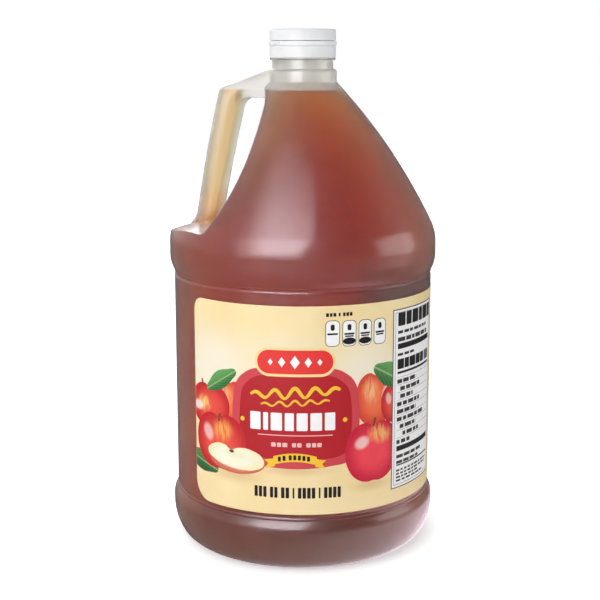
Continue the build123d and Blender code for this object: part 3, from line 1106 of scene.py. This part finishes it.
studio = {
    "azimuth": 20.0,            # camera is turned this far towards +X
    "distance": 733.96,
    "height": 283.1,
    "pitch": 10.938,
    "lens": 75.31,
    "sensor": 36,
    "sideStep": -1.61,
    "clipEnd": 20,
    "aimHeight": 0.15,          # lamps and cards face the axis at this height, in metres
    "glossTint": (1.0, 0.84, 0.95),
    "brightSide": -75,          # the brighter side of the world, as an angle from the camera
    "worldBright": 0.75,
    "worldDim": 0.15,
    "sideRange": (-0.4, 0.7),
    "fillSide": 170,
    "backFill": 0.8,            # more for matt surfaces, from behind
    "worldThrough": 0.35,       # how bright the room in front is when seen through the jug
    "throughSide": 180,
    "throughRange": (-0.3, 0.4),
    "cardTop": 0.2,             # the cards fade to these shares upwards and to the left
    "cardLeft": 0.12,
    "floorRadius": 3.0,
    "floorDrop": 0.0002,
    "floorColour": (0.9, 0.9, 0.9),
    "floorRoughness": 0.8,
    "floorLift": 0.72,          # added to the lit floor, so it is white with a faint shadow, partly real and partly painted
    "shadowLift": 0.34,         # share of the lift that is left under the jug: a painted shadow
    "liftRange": (0.05, 0.10),
    "floorGloss": (2.2, 0.10),  # the floor in reflections: a glowing patch right of the jug, a painted reflection on the jug's lower ring, and elsewhere
    "glossSpot": (63, 0.112, 0),
    "glossRange": (0.02, 0.16),
}
softBoxes = (
    # name, angle, elevation, distance, size, power
    ("keyBox", -27, 21, 1.2, (1.3, 1.0), 7.2),
    ("sideBox", 86, 9, 1.3, (0.95, 0.75), 5.0),
)
reflectors = (
    # name, angle, elevation, distance, size, strength, colour
    ("keyCard", -26, 34, 1.1, (1.08, 1.35), 10.0, (1.0, 0.93, 1.0)),
    ("backCard", 185, 22, 1.2, (0.55, 0.5), 5.0, (1.0, 1.0, 1.0)),
)


def fromCamera(angle, distance, height):
    # a point at this angle from the camera's side, positive to its right
    turn = math.radians(angle - 90 + studio["azimuth"])
    return Vector((math.cos(turn) * distance, math.sin(turn) * distance, height))


def placeCamera():
    lens = bpy.data.cameras.new("camera")
    lens.lens = studio["lens"]
    lens.sensor_width = studio["sensor"]
    lens.clip_end = studio["clipEnd"]
    camera = addObject("camera", lens)
    back = fromCamera(0, studio["distance"], studio["height"])
    camera.location = (back + fromCamera(90, studio["sideStep"], 0)) * mm
    camera.rotation_euler = (
        math.radians(90 - studio["pitch"]), 0, math.radians(studio["azimuth"]))
    bpy.context.scene.camera = camera


def aimAtJug(thing, angle, elevation, distance):
    # a lamp shines along its -Z, and a card is turned the same way
    aim = Vector((0, 0, studio["aimHeight"]))
    rise = math.radians(elevation)
    away = fromCamera(angle, distance * math.cos(rise), distance * math.sin(rise))
    thing.location = aim + away
    thing.rotation_euler = away.to_track_quat("Z", "Y").to_euler()


def placeSoftBox(name, angle, elevation, distance, size, power):
    lamp = bpy.data.lights.new(name, "AREA")
    lamp.shape = "RECTANGLE"
    lamp.size, lamp.size_y = size
    lamp.energy = power
    aimAtJug(addObject(name, lamp), angle, elevation, distance)


def makeGlow(tree, strength, x, y, colour=(1, 1, 1)):
    sockets = {"Color": colour, "Strength": strength}
    return addNode(tree, "ShaderNodeEmission", x, y, sockets).outputs[0]


def placeReflector(name, angle, elevation, distance, size, strength, colour):
    # a card that only glossy surfaces see; it fades upwards and to the left
    wide, tall = size
    bm = bmesh.new()
    bmesh.ops.create_grid(bm, x_segments=1, y_segments=1, size=0.5)
    bmesh.ops.scale(bm, verts=bm.verts[:], vec=(wide, tall, 1))
    card = addObject(name, meshFrom(name, bm))
    aimAtJug(card, angle, elevation, distance)
    material, tree, shader = newMaterial(name)
    tree.nodes.remove(shader)
    split = splitUp(tree, objectPlace(tree, -800, 0), -600, 0)
    top, left = strength * studio["cardTop"], studio["cardLeft"]
    up = mapRange(tree, split["Y"], tall * -0.1, tall * 0.5, -400, 0, strength, top)
    side = mapRange(tree, split["X"], wide * -0.5, wide * -0.05, -400, -200, left, 1.0)
    fade = calculate(tree, "MULTIPLY", (up, side), -200, 0)
    feedAll(tree, tree.nodes["Material Output"], {"Surface": makeGlow(tree, fade, 0, 0, colour)})
    card.data.materials.append(material)
    card.visible_camera = card.visible_diffuse = False
    card.visible_transmission = card.visible_shadow = False


def makeBackdrop():
    # the world is white where the camera or the jug's glassy parts see it, and plain elsewhere
    world = bpy.data.worlds.new("studio")
    bpy.context.scene.world = world
    world.use_nodes = True
    tree = world.node_tree
    way = addNode(tree, "ShaderNodeTexCoord", -1100, -200).outputs["Generated"]
    path = addNode(tree, "ShaderNodeLightPath", -900, 300).outputs

    def towards(angle, y):
        return measure(tree, "DOT_PRODUCT", (way, fromCamera(angle, 1, 0)), -900, y)

    side = mapRange(
        tree, towards(studio["brightSide"], -200), *studio["sideRange"], -700, -200,
        studio["worldDim"], studio["worldBright"])
    fill = mapRange(
        tree, towards(studio["fillSide"], -500), 0.0, 1.0, -700, -500, 0.0, studio["backFill"])
    fill = calculate(tree, "MULTIPLY", (fill, path["Is Diffuse Ray"]), -500, -500)
    tint = mixColour(tree, path["Is Glossy Ray"], (1, 1, 1), studio["glossTint"], -300, 100)
    light = tree.nodes["Background"]
    feedAll(tree, light, {
        "Color": tint, "Strength": calculate(tree, "ADD", (side, fill), -300, -200)})
    through = mapRange(
        tree, towards(studio["throughSide"], 0), *studio["throughRange"], -700, 0,
        studio["worldThrough"], 1.0)
    through = calculate(tree, "MULTIPLY", (through, path["Is Transmission Ray"]), -500, 0)
    seen = calculate(tree, "MAXIMUM", (path["Is Camera Ray"], through), -200, 200)
    white = addNode(tree, "ShaderNodeBackground", 0, -200, {"Color": (1, 1, 1), "Strength": 1.0})
    mix = addNode(tree, "ShaderNodeMixShader", 200, 0, {
        0: seen, 1: light.outputs[0], 2: white.outputs[0]})
    feedAll(tree, tree.nodes["World Output"], {"Surface": mix.outputs[0]})


def makeFloor():
    bm = bmesh.new()
    bmesh.ops.create_circle(bm, cap_ends=True, segments=96, radius=studio["floorRadius"])
    floor = addObject("floor", meshFrom("floor", bm))
    floor.location.z = -studio["floorDrop"]
    material, tree, shader = newMaterial("floorWhite")
    feedAll(tree, shader, {
        "Base Color": studio["floorColour"], "Roughness": studio["floorRoughness"]})
    place = objectPlace(tree, -900, -300)
    path = addNode(tree, "ShaderNodeLightPath", -400, 300).outputs
    lift = studio["floorLift"]
    away = measure(tree, "LENGTH", (place,), -700, -300)
    # the glow is dimmer under the jug: a painted shadow
    lift = mapRange(
        tree, away, *studio["liftRange"], -400, -300, lift * studio["shadowLift"], lift)
    bright = addNode(tree, "ShaderNodeAddShader", 150, -400, {
        0: shader.outputs[0], 1: makeGlow(tree, lift, 0, -300)})
    # a glowing patch of floor that only reflections see: a painted highlight on the jug's lower
    # ring
    spot = measure(tree, "DISTANCE", (place, fromCamera(*studio["glossSpot"])), -700, -500)
    shine = mapRange(tree, spot, *studio["glossRange"], -300, -500, *studio["floorGloss"])
    gloss = addNode(tree, "ShaderNodeMixShader", 150, -200, {
        0: path["Is Glossy Ray"], 1: shader.outputs[0],
        2: makeGlow(tree, shine, 0, -500, studio["glossTint"])})
    seen = calculate(
        tree, "MAXIMUM", (path["Is Camera Ray"], path["Is Transmission Ray"]), -200, 200)
    mix = addNode(tree, "ShaderNodeMixShader", 300, 0, {
        0: seen, 1: gloss.outputs[0], 2: bright.outputs[0]})
    feedAll(tree, tree.nodes["Material Output"], {"Surface": mix.outputs[0]})
    floor.data.materials.append(material)


placeCamera()
makeBackdrop()
makeFloor()
for box in softBoxes:
    placeSoftBox(*box)
for card in reflectors:
    placeReflector(*card)
bpy.context.scene.view_settings.view_transform = "Standard"
print("studio lit")
